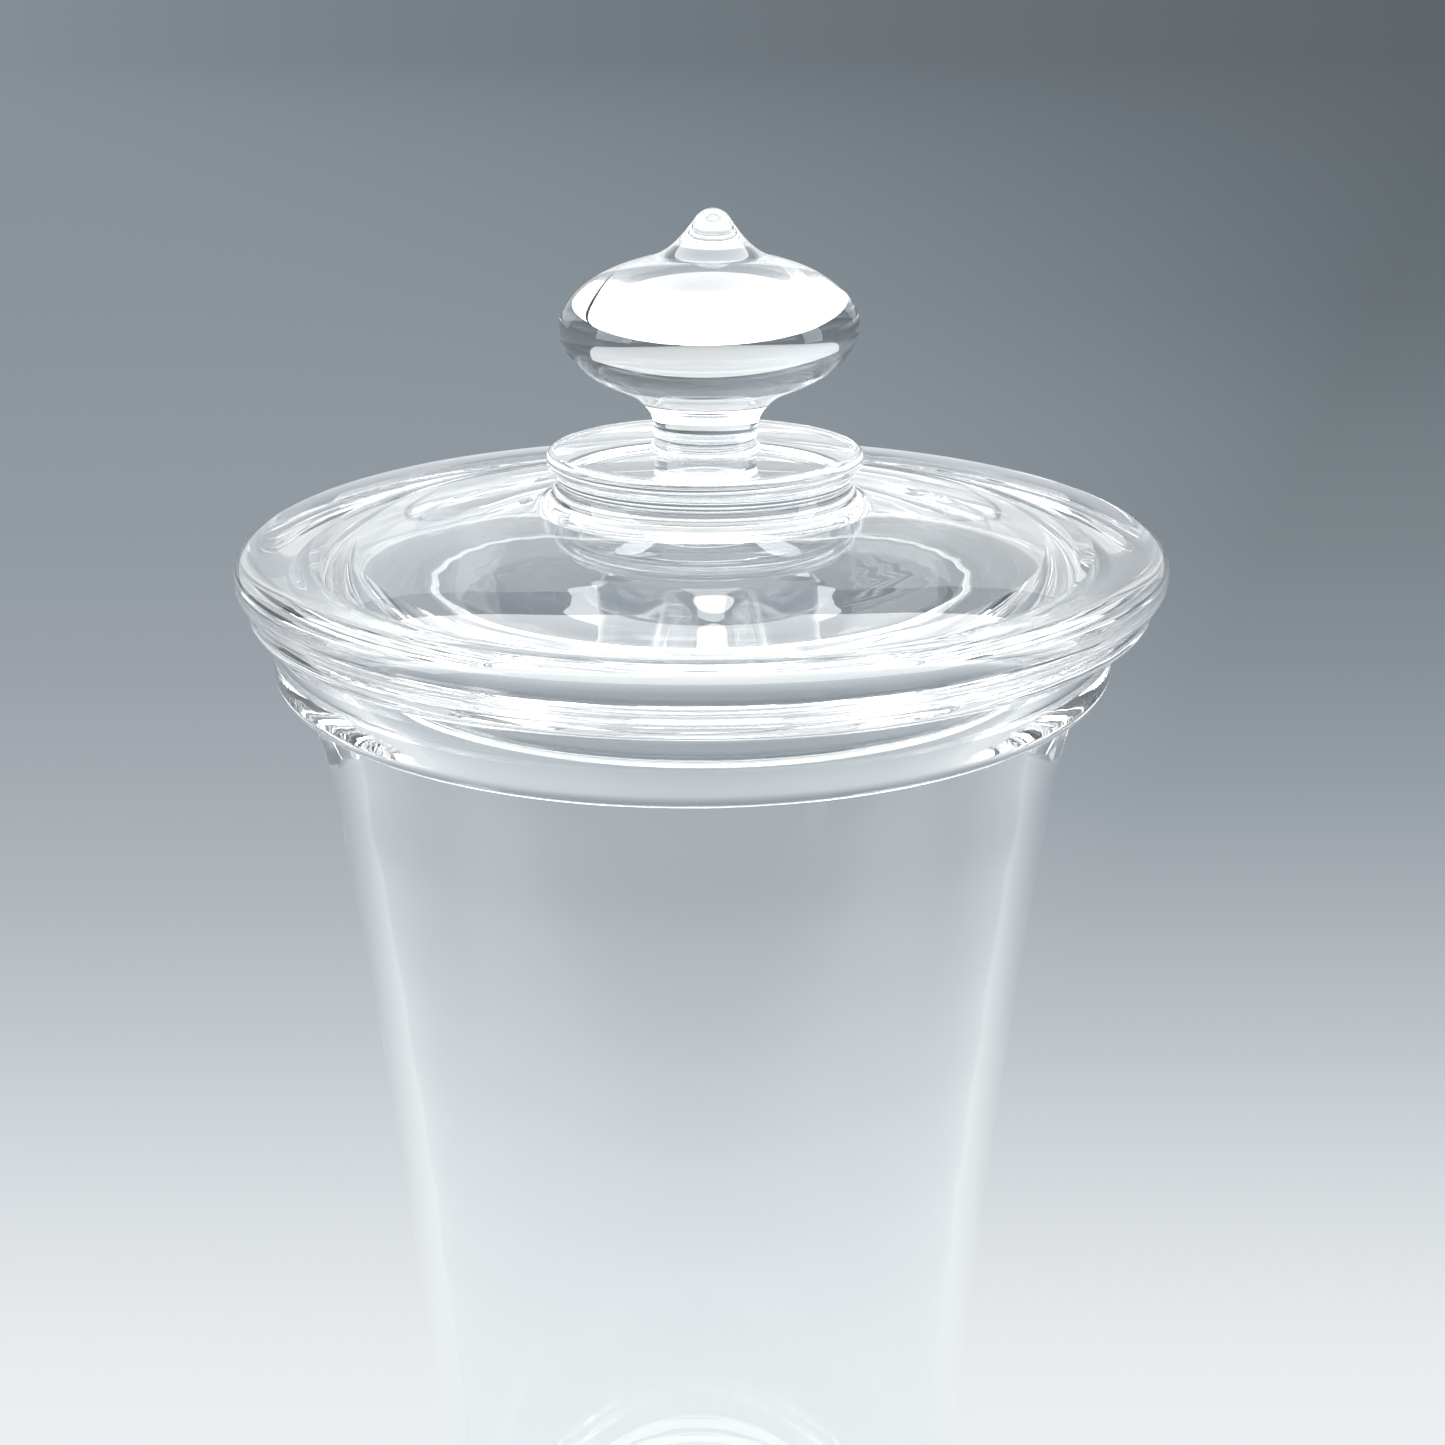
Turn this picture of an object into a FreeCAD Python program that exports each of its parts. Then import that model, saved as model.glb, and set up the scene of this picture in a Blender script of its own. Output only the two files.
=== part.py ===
import FreeCAD, Part
import math
import os

import Sketcher

# A lidded canister in clear hand-made glass, in millimetres, +Z up, standing on Z = 0
# with its axis on Z. Every sub-part is turned about that axis, as it is at the furnace.
# The jar is the foot, the wall and the lip. The lid is all the rest, and lifts off.

SIZES = {
    # jar
    "jar_height": 220.0,          # table to the flat top of the lip
    "foot_radius": 39.2,          # outside, at the table, before the edge is rounded
    "foot_round": 3.2,            # outer edge that meets the table
    "floor_thickness": 8.5,
    "heel_height": 6.5,           # inside corner, from the floor up to the straight wall
    "punt_radius": 27.0,          # ground hollow under the foot
    "punt_depth": 3.0,
    "wall_thickness": 4.2,
    "shoulder_radius": 50.7,      # outside, where the wall starts to flare
    "shoulder_depth": 32.7,       # below the top of the lip
    "wall_bow": 2.58,             # how far the wall is drawn in between foot and shoulder
    "mouth_radius": 53.2,         # inside the lip, at its top
    "mouth_round": 1.0,
    "neck_outset": 2.2,           # from the mouth's radius to the neck's outside
    "flare_bow": 0.7,             # how far the flare's inside is drawn in
    "lip_thickness": 5.2,
    "lip_height": 10.1,
    "lip_lower_round": 2.2,
    "lip_upper_round": 1.4,
    # lid
    "lid_overhang": 5.7,          # from the lip's outside to the lid's
    "roll_thickness": 6.4,        # top to bottom of the fat rolled edge
    "roll_width": 10.1,           # from its nose in to the crease, where the plate starts
    "crease_depth": 1.3,
    "seat_ring_inset": 1.8,       # from the roll's outside to the seat ring's
    "seat_ring_height": 2.4,
    "seat_ring_round": 0.9,
    "flange_clearance": 3.0,      # loose, round the flange in the mouth
    "flange_thickness": 4.0,
    "flange_depth": 8.0,
    "flange_round": 1.4,
    "plate_rise": 5.2,            # from the crease up to the foot of the neck
    "plate_bow": 0.8,
    "hollow_rise": 5.5,           # underside, from its edge up to its middle
    "neck_foot_radius": 23.6,
    "neck_radius_top": 20.6,
    "neck_height": 5.0,
    "neck_waist": 1.2,            # how far the side of the neck is drawn in
    "disc_radius": 21.8,
    "disc_thickness": 2.6,
    "disc_round": 1.1,
    # knob
    "stem_foot_radius": 7.9,
    "stem_foot_height": 1.8,
    "stem_foot_bow": 0.18,        # how far the side of the stem's foot is drawn in
    "stem_radius": 7.05,
    "stem_straight": 0.7,
    "stem_flare_height": 5.2,
    "stem_top_radius": 10.4,
    "bulb_radius": 20.3,
    "bulb_half_height": 10.1,
    "tip_base_radius": 8.2,
    "tip_taper_height": 4.7,
    "tip_waist": 1.6,             # how far the taper is drawn in towards the axis
    "tip_ball_radius": 2.3,
}


class Size:
    """A length as an expression on the sheet, so that sums of sizes stay live."""

    def __init__(self, text):
        self.text = str(text)

    def join(self, sign, other):
        return Size(f"({self.text} {sign} {Size.text_of(other)})")

    @staticmethod
    def text_of(value):
        return value.text if isinstance(value, Size) else str(value)

    def __add__(self, other):
        return self.join("+", other)

    def __sub__(self, other):
        return self.join("-", other)

    def __mul__(self, other):
        return self.join("*", other)

    def __truediv__(self, other):
        return self.join("/", other)


doc = FreeCAD.newDocument("canister")


def make_sheet():
    """The driving dimensions, one row each: its name, its number and its alias."""
    sheet = doc.addObject("Spreadsheet::Sheet", "Sizes")
    for row, (name, value) in enumerate(SIZES.items(), start=1):
        sheet.set(f"A{row}", name)
        sheet.set(f"B{row}", str(value))
        sheet.setAlias(f"B{row}", name)
    doc.recompute()
    return sheet


sheet = make_sheet()
size = {name: Size(f"Sizes.{name}") for name in SIZES}
ON_AXIS = Size(0)
ON_TABLE = Size(0)
# A quarter circle of radius 1 bulges this far from its chord, in each direction.
QUARTER_ROUND_BULGE = math.sqrt(0.5) - 0.5


def number(length):
    """The value of an expression on the sheet."""
    return float(sheet.evalExpression(length.text))


# ---------------------------------------------------------------- places that pieces share

floor_top = size["floor_thickness"]
heel_top = floor_top + size["heel_height"]
shoulder = size["jar_height"] - size["shoulder_depth"]
lip_bottom = size["jar_height"] - size["lip_height"]
lip_radius = size["mouth_radius"] + size["lip_thickness"]
neck_radius = size["mouth_radius"] + size["neck_outset"]
neck_inside = neck_radius - size["wall_thickness"]

seat = size["jar_height"]
lid_radius = lip_radius + size["lid_overhang"]
crease_radius = lid_radius - size["roll_width"]
roll_bottom = seat + size["seat_ring_height"]
roll_top = roll_bottom + size["roll_thickness"]
crease = roll_top - size["crease_depth"]
seat_ring_radius = lid_radius - size["seat_ring_inset"]
flange_outside = size["mouth_radius"] - size["flange_clearance"]
flange_inside = flange_outside - size["flange_thickness"]
flange_bottom = seat - size["flange_depth"]
neck_foot = crease + size["plate_rise"]
disc_bottom = neck_foot + size["neck_height"]
disc_top = disc_bottom + size["disc_thickness"]
stem_straight_bottom = disc_top + size["stem_foot_height"]
stem_straight_top = stem_straight_bottom + size["stem_straight"]
stem_top = stem_straight_top + size["stem_flare_height"]


def bulb_rise(radius):
    """Height of the bulb's surface over its widest circle, where it has that radius."""
    share = radius / size["bulb_radius"]
    return Size(f"({size['bulb_half_height'].text} * sqrt(1 - {share.text}^2))")


bulb_middle = stem_top + bulb_rise(size["stem_top_radius"])
tip_base = bulb_middle + bulb_rise(size["tip_base_radius"])
tip_ball_middle = tip_base + size["tip_taper_height"]


def wall_outside_at(height):
    """Outside radius of the drawn-in wall: the foot-to-shoulder line less a shallow curve."""
    run = height / shoulder
    line = size["foot_radius"] + (size["shoulder_radius"] - size["foot_radius"]) * run
    return line - size["wall_bow"] * 4 * run * (Size(1) - run)


# ------------------------------------------------------------------------ sketched outlines

class Corner:
    """A corner of an outline, and how the edge that arrives at it is drawn.

    The edge is straight, or an arc that leaves the edge before it smoothly (smooth), an
    arc with its centre on the axis, which turns into a ball or a dome (domed), or an arc
    that bulges from the straight line by a radius and a height (bulge).
    """

    def __init__(self, radius, height, smooth=False, domed=False, bulge=None):
        self.radius = radius
        self.height = height
        self.smooth = smooth
        self.domed = domed
        self.bulge = bulge

    def place(self):
        return FreeCAD.Vector(number(self.radius), number(self.height), 0)


def middle(one, other):
    """Halfway between two lengths."""
    return (one + other) / 2


def smooth_middle(start, end, heading):
    """A point on the arc from start to end that sets out along heading."""
    chord = end - start
    side = FreeCAD.Vector(-heading.y, heading.x, 0)
    radius = chord.dot(chord) / (2 * chord.dot(side))
    centre = start + side * radius
    outward = (start + end) / 2 - centre
    return centre + outward * (abs(radius) / outward.Length)


def domed_middle(start, end):
    """A point on the arc from start to end whose centre lies on the axis."""
    rise = (end.x ** 2 - start.x ** 2 + end.y ** 2 - start.y ** 2) / (2 * (end.y - start.y))
    centre = FreeCAD.Vector(0, rise, 0)
    outward = (start + end) / 2 - centre
    return centre + outward * ((start - centre).Length / outward.Length)


def pin(sketch, label, geometry, vertex, radius, height):
    """Tie one point of a sketch to a radius and a height on the sheet."""
    for kind, length, axis in (("DistanceX", radius, -2), ("DistanceY", height, -1)):
        if number(length) == 0:
            sketch.addConstraint(Sketcher.Constraint("PointOnObject", geometry, vertex, axis))
            continue
        value = number(length)
        index = sketch.addConstraint(
            Sketcher.Constraint(kind, -1, 1, geometry, vertex, value))
        name = f"{label}_{'radius' if kind == 'DistanceX' else 'height'}"
        sketch.renameConstraint(index, name)
        sketch.setExpression(f"Constraints.{name}", length.text)


def draw_outline(sketch, corners):
    """Draw a closed outline through the corners and tie every corner to the sheet."""
    places = [corner.place() for corner in corners]
    ends = []
    heading = None
    for index, corner in enumerate(corners):
        start, end = places[index - 1], places[index]
        before = corners[index - 1]
        if corner.bulge or corner.smooth or corner.domed:
            if corner.bulge:
                via_radius = middle(before.radius, corner.radius) + corner.bulge[0]
                via_height = middle(before.height, corner.height) + corner.bulge[1]
                via = FreeCAD.Vector(number(via_radius), number(via_height), 0)
            elif corner.domed:
                via = domed_middle(start, end)
            else:
                via = smooth_middle(start, end, heading)
            clockwise = (via - start).cross(end - via).z < 0
            arc = Part.Arc(end, via, start) if clockwise else Part.Arc(start, via, end)
            geometry = sketch.addGeometry(arc, False)
            ends.append((geometry, 2, 1) if clockwise else (geometry, 1, 2))
            if corner.bulge:
                point = sketch.addGeometry(Part.Point(via), True)
                sketch.addConstraint(
                    Sketcher.Constraint("PointOnObject", point, 1, geometry))
                pin(sketch, f"bulge{index}", point, 1, via_radius, via_height)
            if corner.domed:
                sketch.addConstraint(Sketcher.Constraint("PointOnObject", geometry, 3, -2))
            spoke = end - Part.Circle(start, via, end).Center
            heading = FreeCAD.Vector(-spoke.y, spoke.x, 0).normalize()
            if heading.dot(end - via) < 0:
                heading = heading * -1
        else:
            geometry = sketch.addGeometry(Part.LineSegment(start, end), False)
            ends.append((geometry, 1, 2))
            heading = (end - start).normalize()
    for index, corner in enumerate(corners):
        geometry, first, last = ends[index]
        before, _, before_last = ends[index - 1]
        kind = "Tangent" if corner.smooth else "Coincident"
        sketch.addConstraint(
            Sketcher.Constraint(kind, before, before_last, geometry, first))
        pin(sketch, f"corner{index}", geometry, last, corner.radius, corner.height)


def new_body(label):
    body = doc.addObject("PartDesign::Body", label)
    body.Label = label
    body.Placement = FreeCAD.Placement()
    return body


def turn(label, corners):
    """A body turned about Z from an outline in the XZ plane."""
    body = new_body(label)
    sketch = body.newObject("Sketcher::SketchObject", f"{label}_outline")
    plane = next(face for face in body.Origin.OriginFeatures if face.Role == "XZ_Plane")
    sketch.AttachmentSupport = [(plane, "")]
    sketch.MapMode = "FlatFace"
    draw_outline(sketch, corners)
    revolution = body.newObject("PartDesign::Revolution", f"{label}_turned")
    revolution.Profile = sketch
    revolution.ReferenceAxis = (sketch, ["V_Axis"])
    revolution.Angle = 360
    sketch.Visibility = False
    doc.recompute()
    return body


def round_edges(body, label, radius, rims):
    """Round the circular edges of a body that lie at these radii and heights."""
    base = body.Tip
    wanted = [(number(rim_radius), number(rim_height)) for rim_radius, rim_height in rims]
    names = []
    for index, edge in enumerate(base.Shape.Edges, start=1):
        if edge.Degenerated or not isinstance(edge.Curve, Part.Circle):
            continue
        found = (edge.Curve.Radius, edge.Curve.Center.z)
        if any(math.dist(found, rim) < 1e-6 for rim in wanted):
            names.append(f"Edge{index}")
    if len(names) != len(wanted):
        raise RuntimeError(f"{label}: {len(names)} of {len(wanted)} edges found")
    fillet = body.newObject("PartDesign::Fillet", label)
    fillet.Base = (base, names)
    fillet.setExpression("Radius", radius.text)
    doc.recompute()


# ------------------------------------------------------------------------------------- jar

def make_jar_foot():
    """Thick bottom of the jar, up to the top of the inside corner, hollow underneath."""
    inside = wall_outside_at(heel_top) - size["wall_thickness"]
    bulge = size["heel_height"] * QUARTER_ROUND_BULGE
    corners = [
        Corner(ON_AXIS, floor_top),
        Corner(ON_AXIS, size["punt_depth"]),
        Corner(size["punt_radius"], ON_TABLE, domed=True),
        Corner(size["foot_radius"], ON_TABLE),
        Corner(wall_outside_at(heel_top), heel_top),
        Corner(inside, heel_top),
        Corner(inside - size["heel_height"], floor_top,
               bulge=(bulge, bulge * -1)),
    ]
    body = turn("jar_foot", corners)
    round_edges(body, "foot_rounding", size["foot_round"],
                [(size["foot_radius"], ON_TABLE)])
    return body


def make_jar_wall():
    """Blown wall: drawn in a little over its length, then flared out to the lip."""
    outside = wall_outside_at(heel_top)
    thickness = size["wall_thickness"]
    halfway = wall_outside_at(middle(heel_top, shoulder))
    drawn_in = halfway - middle(outside, size["shoulder_radius"])
    corners = [
        Corner(outside, heel_top),
        Corner(size["shoulder_radius"], shoulder, bulge=(drawn_in, ON_TABLE)),
        Corner(neck_radius, lip_bottom, smooth=True),
        Corner(neck_inside, lip_bottom),
        Corner(size["shoulder_radius"] - thickness, shoulder,
               bulge=(size["flare_bow"] * -1, ON_TABLE)),
        Corner(outside - thickness, heel_top, bulge=(drawn_in, ON_TABLE)),
    ]
    return turn("jar_wall", corners)


def make_jar_lip():
    """Fat lip: a band folded outwards round the mouth, with a flat top for the lid."""
    corners = [
        Corner(neck_inside, lip_bottom),
        Corner(lip_radius, lip_bottom),
        Corner(lip_radius, seat),
        Corner(size["mouth_radius"], seat),
    ]
    body = turn("jar_lip", corners)
    round_edges(body, "lip_lower_rounding", size["lip_lower_round"],
                [(lip_radius, lip_bottom)])
    round_edges(body, "lip_upper_rounding", size["lip_upper_round"],
                [(lip_radius, seat)])
    round_edges(body, "mouth_rounding", size["mouth_round"],
                [(size["mouth_radius"], seat)])
    return body


# ------------------------------------------------------------------------------------- lid

def make_lid_flange():
    """Ring that hangs down in the mouth and keeps the lid from sliding off."""
    corners = [
        Corner(flange_inside, flange_bottom),
        Corner(flange_outside, flange_bottom),
        Corner(flange_outside, seat),
        Corner(flange_inside, seat),
    ]
    body = turn("lid_flange", corners)
    round_edges(body, "flange_rounding", size["flange_round"],
                [(flange_inside, flange_bottom), (flange_outside, flange_bottom)])
    return body


def make_lid_seat_ring():
    """Flat ring under the plate and the roll, which sits on the lip of the jar."""
    corners = [
        Corner(flange_inside, seat),
        Corner(seat_ring_radius, seat),
        Corner(seat_ring_radius, roll_bottom),
        Corner(flange_inside, roll_bottom),
    ]
    body = turn("lid_seat_ring", corners)
    round_edges(body, "seat_rounding", size["seat_ring_round"], [(seat_ring_radius, seat)])
    return body


def make_lid_rim_roll():
    """Fat rolled edge of the lid: a round nose, and a top that falls to the crease."""
    half = size["roll_thickness"] / 2
    nose_middle = lid_radius - half
    corners = [
        Corner(crease_radius, roll_bottom),
        Corner(nose_middle, roll_bottom),
        Corner(nose_middle, roll_top, bulge=(half, ON_TABLE)),
        Corner(crease_radius, crease, smooth=True),
    ]
    return turn("lid_rim_roll", corners)


def make_lid_plate():
    """Shallow dome of the lid inside the roll, hollowed underneath."""
    corners = [
        Corner(ON_AXIS, neck_foot),
        Corner(ON_AXIS, roll_bottom + size["hollow_rise"]),
        Corner(flange_inside, roll_bottom, domed=True),
        Corner(crease_radius, roll_bottom),
        Corner(crease_radius, crease),
        Corner(size["neck_foot_radius"], neck_foot, bulge=(ON_AXIS, size["plate_bow"])),
    ]
    return turn("lid_plate", corners)


def make_lid_neck():
    """Waisted button of glass between the plate and the disc."""
    corners = [
        Corner(ON_AXIS, disc_bottom),
        Corner(ON_AXIS, neck_foot),
        Corner(size["neck_foot_radius"], neck_foot),
        Corner(size["neck_radius_top"], disc_bottom,
               bulge=(size["neck_waist"] * -1, ON_TABLE)),
    ]
    return turn("lid_neck", corners)


def make_lid_disc():
    """Thin flat disc pressed on the neck, under the knob's stem."""
    corners = [
        Corner(ON_AXIS, disc_top),
        Corner(ON_AXIS, disc_bottom),
        Corner(size["disc_radius"], disc_bottom),
        Corner(size["disc_radius"], disc_top),
    ]
    body = turn("lid_disc", corners)
    round_edges(body, "disc_rounding", size["disc_round"],
                [(size["disc_radius"], disc_bottom), (size["disc_radius"], disc_top)])
    return body


# ------------------------------------------------------------------------------------ knob

def make_knob_stem():
    """Stem that spreads a little on the disc and flares out under the bulb."""
    corners = [
        Corner(ON_AXIS, stem_top),
        Corner(ON_AXIS, disc_top),
        Corner(size["stem_foot_radius"], disc_top),
        Corner(size["stem_radius"], stem_straight_bottom,
               bulge=(size["stem_foot_bow"] * -1, ON_TABLE)),
        Corner(size["stem_radius"], stem_straight_top),
        Corner(size["stem_top_radius"], stem_top, smooth=True),
    ]
    return turn("knob_stem", corners)


def make_knob_bulb():
    """Flattened bulb: an ellipsoid cut flat where the stem and the tip join it."""
    bulb = doc.addObject("Part::Ellipsoid", "bulb_ellipsoid")
    bulb.setExpression("Radius1", size["bulb_half_height"].text)
    bulb.setExpression("Radius2", size["bulb_radius"].text)
    bulb.setExpression("Radius3", size["bulb_radius"].text)
    bulb.setExpression("Placement.Base.z", bulb_middle.text)
    slab = doc.addObject("Part::Cylinder", "bulb_slab")
    slab.setExpression("Radius", (size["bulb_radius"] * 2).text)
    slab.setExpression("Height", (tip_base - stem_top).text)
    slab.setExpression("Placement.Base.z", stem_top.text)
    common = doc.addObject("Part::Common", "knob_bulb")
    common.Base = bulb
    common.Tool = slab
    common.Label = "knob_bulb"
    common.Placement = FreeCAD.Placement()
    doc.recompute()
    return common


def make_knob_tip():
    """Drawn-out tip: a hollow-sided taper that ends in a little ball."""
    ball = size["tip_ball_radius"]
    corners = [
        Corner(ON_AXIS, tip_base),
        Corner(size["tip_base_radius"], tip_base),
        Corner(ball, tip_ball_middle, bulge=(size["tip_waist"] * -1, ON_TABLE)),
        Corner(ON_AXIS, tip_ball_middle + ball, domed=True),
    ]
    return turn("knob_tip", corners)


def check(parts):
    """Stop if anything in the document failed or any sub-part is not one sound solid."""
    for item in doc.Objects:
        if "Invalid" in item.State or "Error" in item.State:
            raise RuntimeError(f"{item.Label}: {item.State}")
    for part in parts:
        if part.Shape.isNull() or not part.Shape.isValid():
            raise RuntimeError(f"{part.Label} has no sound shape")
        if len(part.Shape.Solids) != 1:
            raise RuntimeError(f"{part.Label} has {len(part.Shape.Solids)} solids")


parts = [
    make_jar_foot(),
    make_jar_wall(),
    make_jar_lip(),
    make_lid_flange(),
    make_lid_seat_ring(),
    make_lid_rim_roll(),
    make_lid_plate(),
    make_lid_neck(),
    make_lid_disc(),
    make_knob_stem(),
    make_knob_bulb(),
    make_knob_tip(),
]
doc.recompute()
check(parts)

os.makedirs("parts", exist_ok=True)
for part in parts:
    part.Shape.exportStep(f"parts/{part.Label}.step")
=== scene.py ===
"""The finished look of a lidded canister in clear hand-made glass.

Every piece is turned about the canister's axis from an outline, as the glassmaker turns it on
the iron, by one Geometry Nodes tree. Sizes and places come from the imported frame, in metres.
The jar and the lid are each one fused lump of glass: neighbouring pieces share a flat weld face
that light passes straight through, so that no seam shows inside the glass.
"""
import logging
import math
from dataclasses import dataclass
from enum import Enum

import bmesh
import bpy
from mathutils import Matrix, Vector
from mathutils.geometry import interpolate_bezier


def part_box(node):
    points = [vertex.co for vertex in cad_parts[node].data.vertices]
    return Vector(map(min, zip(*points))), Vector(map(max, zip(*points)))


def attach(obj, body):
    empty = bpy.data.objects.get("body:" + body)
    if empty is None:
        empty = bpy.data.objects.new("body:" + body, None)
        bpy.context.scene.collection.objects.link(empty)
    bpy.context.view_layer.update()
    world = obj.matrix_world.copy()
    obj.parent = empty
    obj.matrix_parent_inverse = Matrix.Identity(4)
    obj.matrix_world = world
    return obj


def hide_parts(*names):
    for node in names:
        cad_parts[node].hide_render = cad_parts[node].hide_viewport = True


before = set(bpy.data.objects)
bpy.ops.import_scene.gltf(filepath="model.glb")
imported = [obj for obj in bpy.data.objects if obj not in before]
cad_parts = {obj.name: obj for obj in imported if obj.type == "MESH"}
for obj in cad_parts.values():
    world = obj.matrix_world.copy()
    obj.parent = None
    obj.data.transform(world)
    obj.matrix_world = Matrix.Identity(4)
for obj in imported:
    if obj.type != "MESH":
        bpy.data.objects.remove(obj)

log = logging.getLogger("canister")

MM = 0.001
TURN_RADIUS = 50 * MM      # circle that outlines are turned along, before they are moved out
MERGE_DISTANCE = 0.001 * MM
ON_AXIS = 1e-7             # a radius under this counts as the axis
SECOND_WAVE = 0.6          # height of the rings' second wave, as a share of the first
SECOND_WAVE_RATE = 3.3     # radians for each ring length
SECOND_WAVE_START = 3.4    # radians
Point = tuple[float, float]


class Skin(Enum):
    """What a stretch of an outline turns into; the value is what its points carry."""

    POLISHED = 0.0  # a surface of the glass, fire-polished
    WELD = 1.0      # inside the glass, where one gather is fused to the next


WELD_FROM = 0.4     # a face next to a weld's middle point averages 0.5


# --------------------------------------------------------------------------- outline drawing

@dataclass(frozen=True)
class Stretch:
    """A run of outline points, as radius and height in metres, with one skin."""

    points: tuple[Point, ...]
    skin: Skin = Skin.POLISHED


def straight(start: Point, end: Point, steps: int = 6) -> Stretch:
    """A straight stretch.

    Args:
        start: First point.
        end: Last point.
        steps: Number of edges.

    Returns:
        The stretch, both ends included.
    """
    share = [step / steps for step in range(steps + 1)]
    return Stretch(tuple(
        (start[0] + (end[0] - start[0]) * s, start[1] + (end[1] - start[1]) * s)
        for s in share))


def weld(start: Point, end: Point) -> Stretch:
    """A straight stretch inside the glass, with one point halfway that carries the skin.

    Args:
        start: First point.
        end: Last point.

    Returns:
        The stretch, with the weld's skin.
    """
    return Stretch(straight(start, end, 2).points, Skin.WELD)


def bend(start: Point, leave: float, end: Point, arrive: float, steps: int = 20,
         pull: float | None = None) -> Stretch:
    """A smooth stretch that leaves and arrives along given headings.

    Args:
        start: First point.
        leave: Heading at the start, in degrees, 0 outwards and 90 upwards.
        end: Last point.
        arrive: Heading at the end, in degrees.
        steps: Number of edges.
        pull: Handle length over chord length. Left out, it is a circle's for that turn.

    Returns:
        The stretch, both ends included.
    """
    if pull is None:
        turn = abs((arrive - leave + 180) % 360 - 180)
        half = math.radians(max(turn, 1)) / 2
        pull = 2 / 3 * math.tan(half / 2) / math.sin(half)
    first, last = Vector(start), Vector(end)
    reach = (last - first).length * pull
    out = first + reach * Vector((math.cos(math.radians(leave)), math.sin(math.radians(leave))))
    back = last - reach * Vector((math.cos(math.radians(arrive)),
                                  math.sin(math.radians(arrive))))
    points = interpolate_bezier(first, out, back, last, steps + 1)
    return Stretch(tuple((max(point.x, 0.0), point.y) for point in points))


@dataclass(frozen=True)
class Oval:
    """The upright section of a flattened ball on the axis."""

    radius: float
    half_height: float
    middle: float

    @classmethod
    def between(cls, radius: float, low: Point, high: Point) -> "Oval":
        """The oval of a given radius that passes through two points.

        Args:
            radius: Widest radius.
            low: A point under the middle.
            high: A point over the middle.

        Returns:
            The oval.
        """
        low_share = math.sqrt(1 - (low[0] / radius) ** 2)
        high_share = math.sqrt(1 - (high[0] / radius) ** 2)
        half_height = (high[1] - low[1]) / (low_share + high_share)
        return cls(radius, half_height, low[1] + half_height * low_share)

    def angle_at(self, point: Point) -> float:
        """The ellipse's own parameter at a point.

        Args:
            point: A point on the oval.

        Returns:
            The parameter, in radians.
        """
        return math.atan2((point[1] - self.middle) / self.half_height, point[0] / self.radius)

    def heading_at(self, point: Point) -> float:
        """Heading of the oval at a point, going downwards.

        Args:
            point: A point on the oval.

        Returns:
            The heading, in degrees.
        """
        angle = self.angle_at(point)
        return math.degrees(math.atan2(-self.half_height * math.cos(angle),
                                       self.radius * math.sin(angle)))

    def below(self, radius: float) -> Point:
        """The point on the lower half that has a given radius.

        Args:
            radius: Distance from the axis.

        Returns:
            The point.
        """
        drop = self.half_height * math.sqrt(1 - (radius / self.radius) ** 2)
        return (radius, self.middle - drop)

    def arc(self, start: Point, end: Point, steps: int = 56) -> Stretch:
        """The outer side of the oval from one point down to another.

        Args:
            start: The upper point.
            end: The lower point.
            steps: Number of edges.

        Returns:
            The stretch, both ends included.
        """
        first, last = self.angle_at(start), self.angle_at(end)
        angles = [first + (last - first) * step / steps for step in range(steps + 1)]
        return Stretch(tuple(
            (self.radius * math.cos(a), self.middle + self.half_height * math.sin(a))
            for a in angles))


def rippled(stretch: Stretch, depth: float, length: float, lift: bool) -> Stretch:
    """Adds the shallow rings that a turned surface keeps.

    Args:
        stretch: The smooth stretch.
        depth: Height of a ring, from its middle, in metres.
        length: Distance from ring to ring, in metres.
        lift: True where the rings lie one outside the other, False where they are stacked.

    Returns:
        The stretch with rings, which fade out at both of its ends.
    """
    points = []
    for index, (radius, height) in enumerate(stretch.points):
        share = index / (len(stretch.points) - 1)
        fade = math.sin(math.pi * share) ** 0.5 if 0 < share < 1 else 0.0
        way = radius if lift else height
        second = math.sin(SECOND_WAVE_START + SECOND_WAVE_RATE * way / length)
        wave = math.sin(2 * math.pi * way / length) + SECOND_WAVE * second
        shift = depth * fade * wave / (1 + SECOND_WAVE)
        points.append((radius, height + shift) if lift else (radius + shift, height))
    return Stretch(tuple(points), stretch.skin)


# --------------------------------------------------------------------------------- materials

def linear(hex_colour: str) -> tuple[float, float, float, float]:
    """An sRGB hex colour as the linear colour that a shader takes.

    Args:
        hex_colour: The colour, such as "#ebeff2".

    Returns:
        Linear red, green and blue, and full opacity.
    """
    channels = [int(hex_colour[i:i + 2], 16) / 255 for i in (1, 3, 5)]
    flat = [c / 12.92 if c <= 0.04045 else ((c + 0.055) / 1.055) ** 2.4 for c in channels]
    return (*flat, 1.0)


def add_node(tree: bpy.types.NodeTree, kind: str, settings: dict | None = None,
             **links: object) -> bpy.types.Node:
    """Adds a node, sets it up and links it.

    Args:
        tree: The node tree.
        kind: The node's type name.
        settings: Node properties, and socket values under the socket's name or number.
        **links: Sockets to link from, keyed by input name with spaces as underscores.

    Returns:
        The new node.
    """
    node = tree.nodes.new(kind)
    for key, value in (settings or {}).items():
        if isinstance(key, str) and hasattr(node, key):
            setattr(node, key, value)
        else:
            node.inputs[key].default_value = value
    for key, source in links.items():
        name = int(key[1:]) if key[0] == "n" and key[1:].isdigit() else key.replace("_", " ")
        tree.links.new(source, node.inputs[name])
    return node


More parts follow.
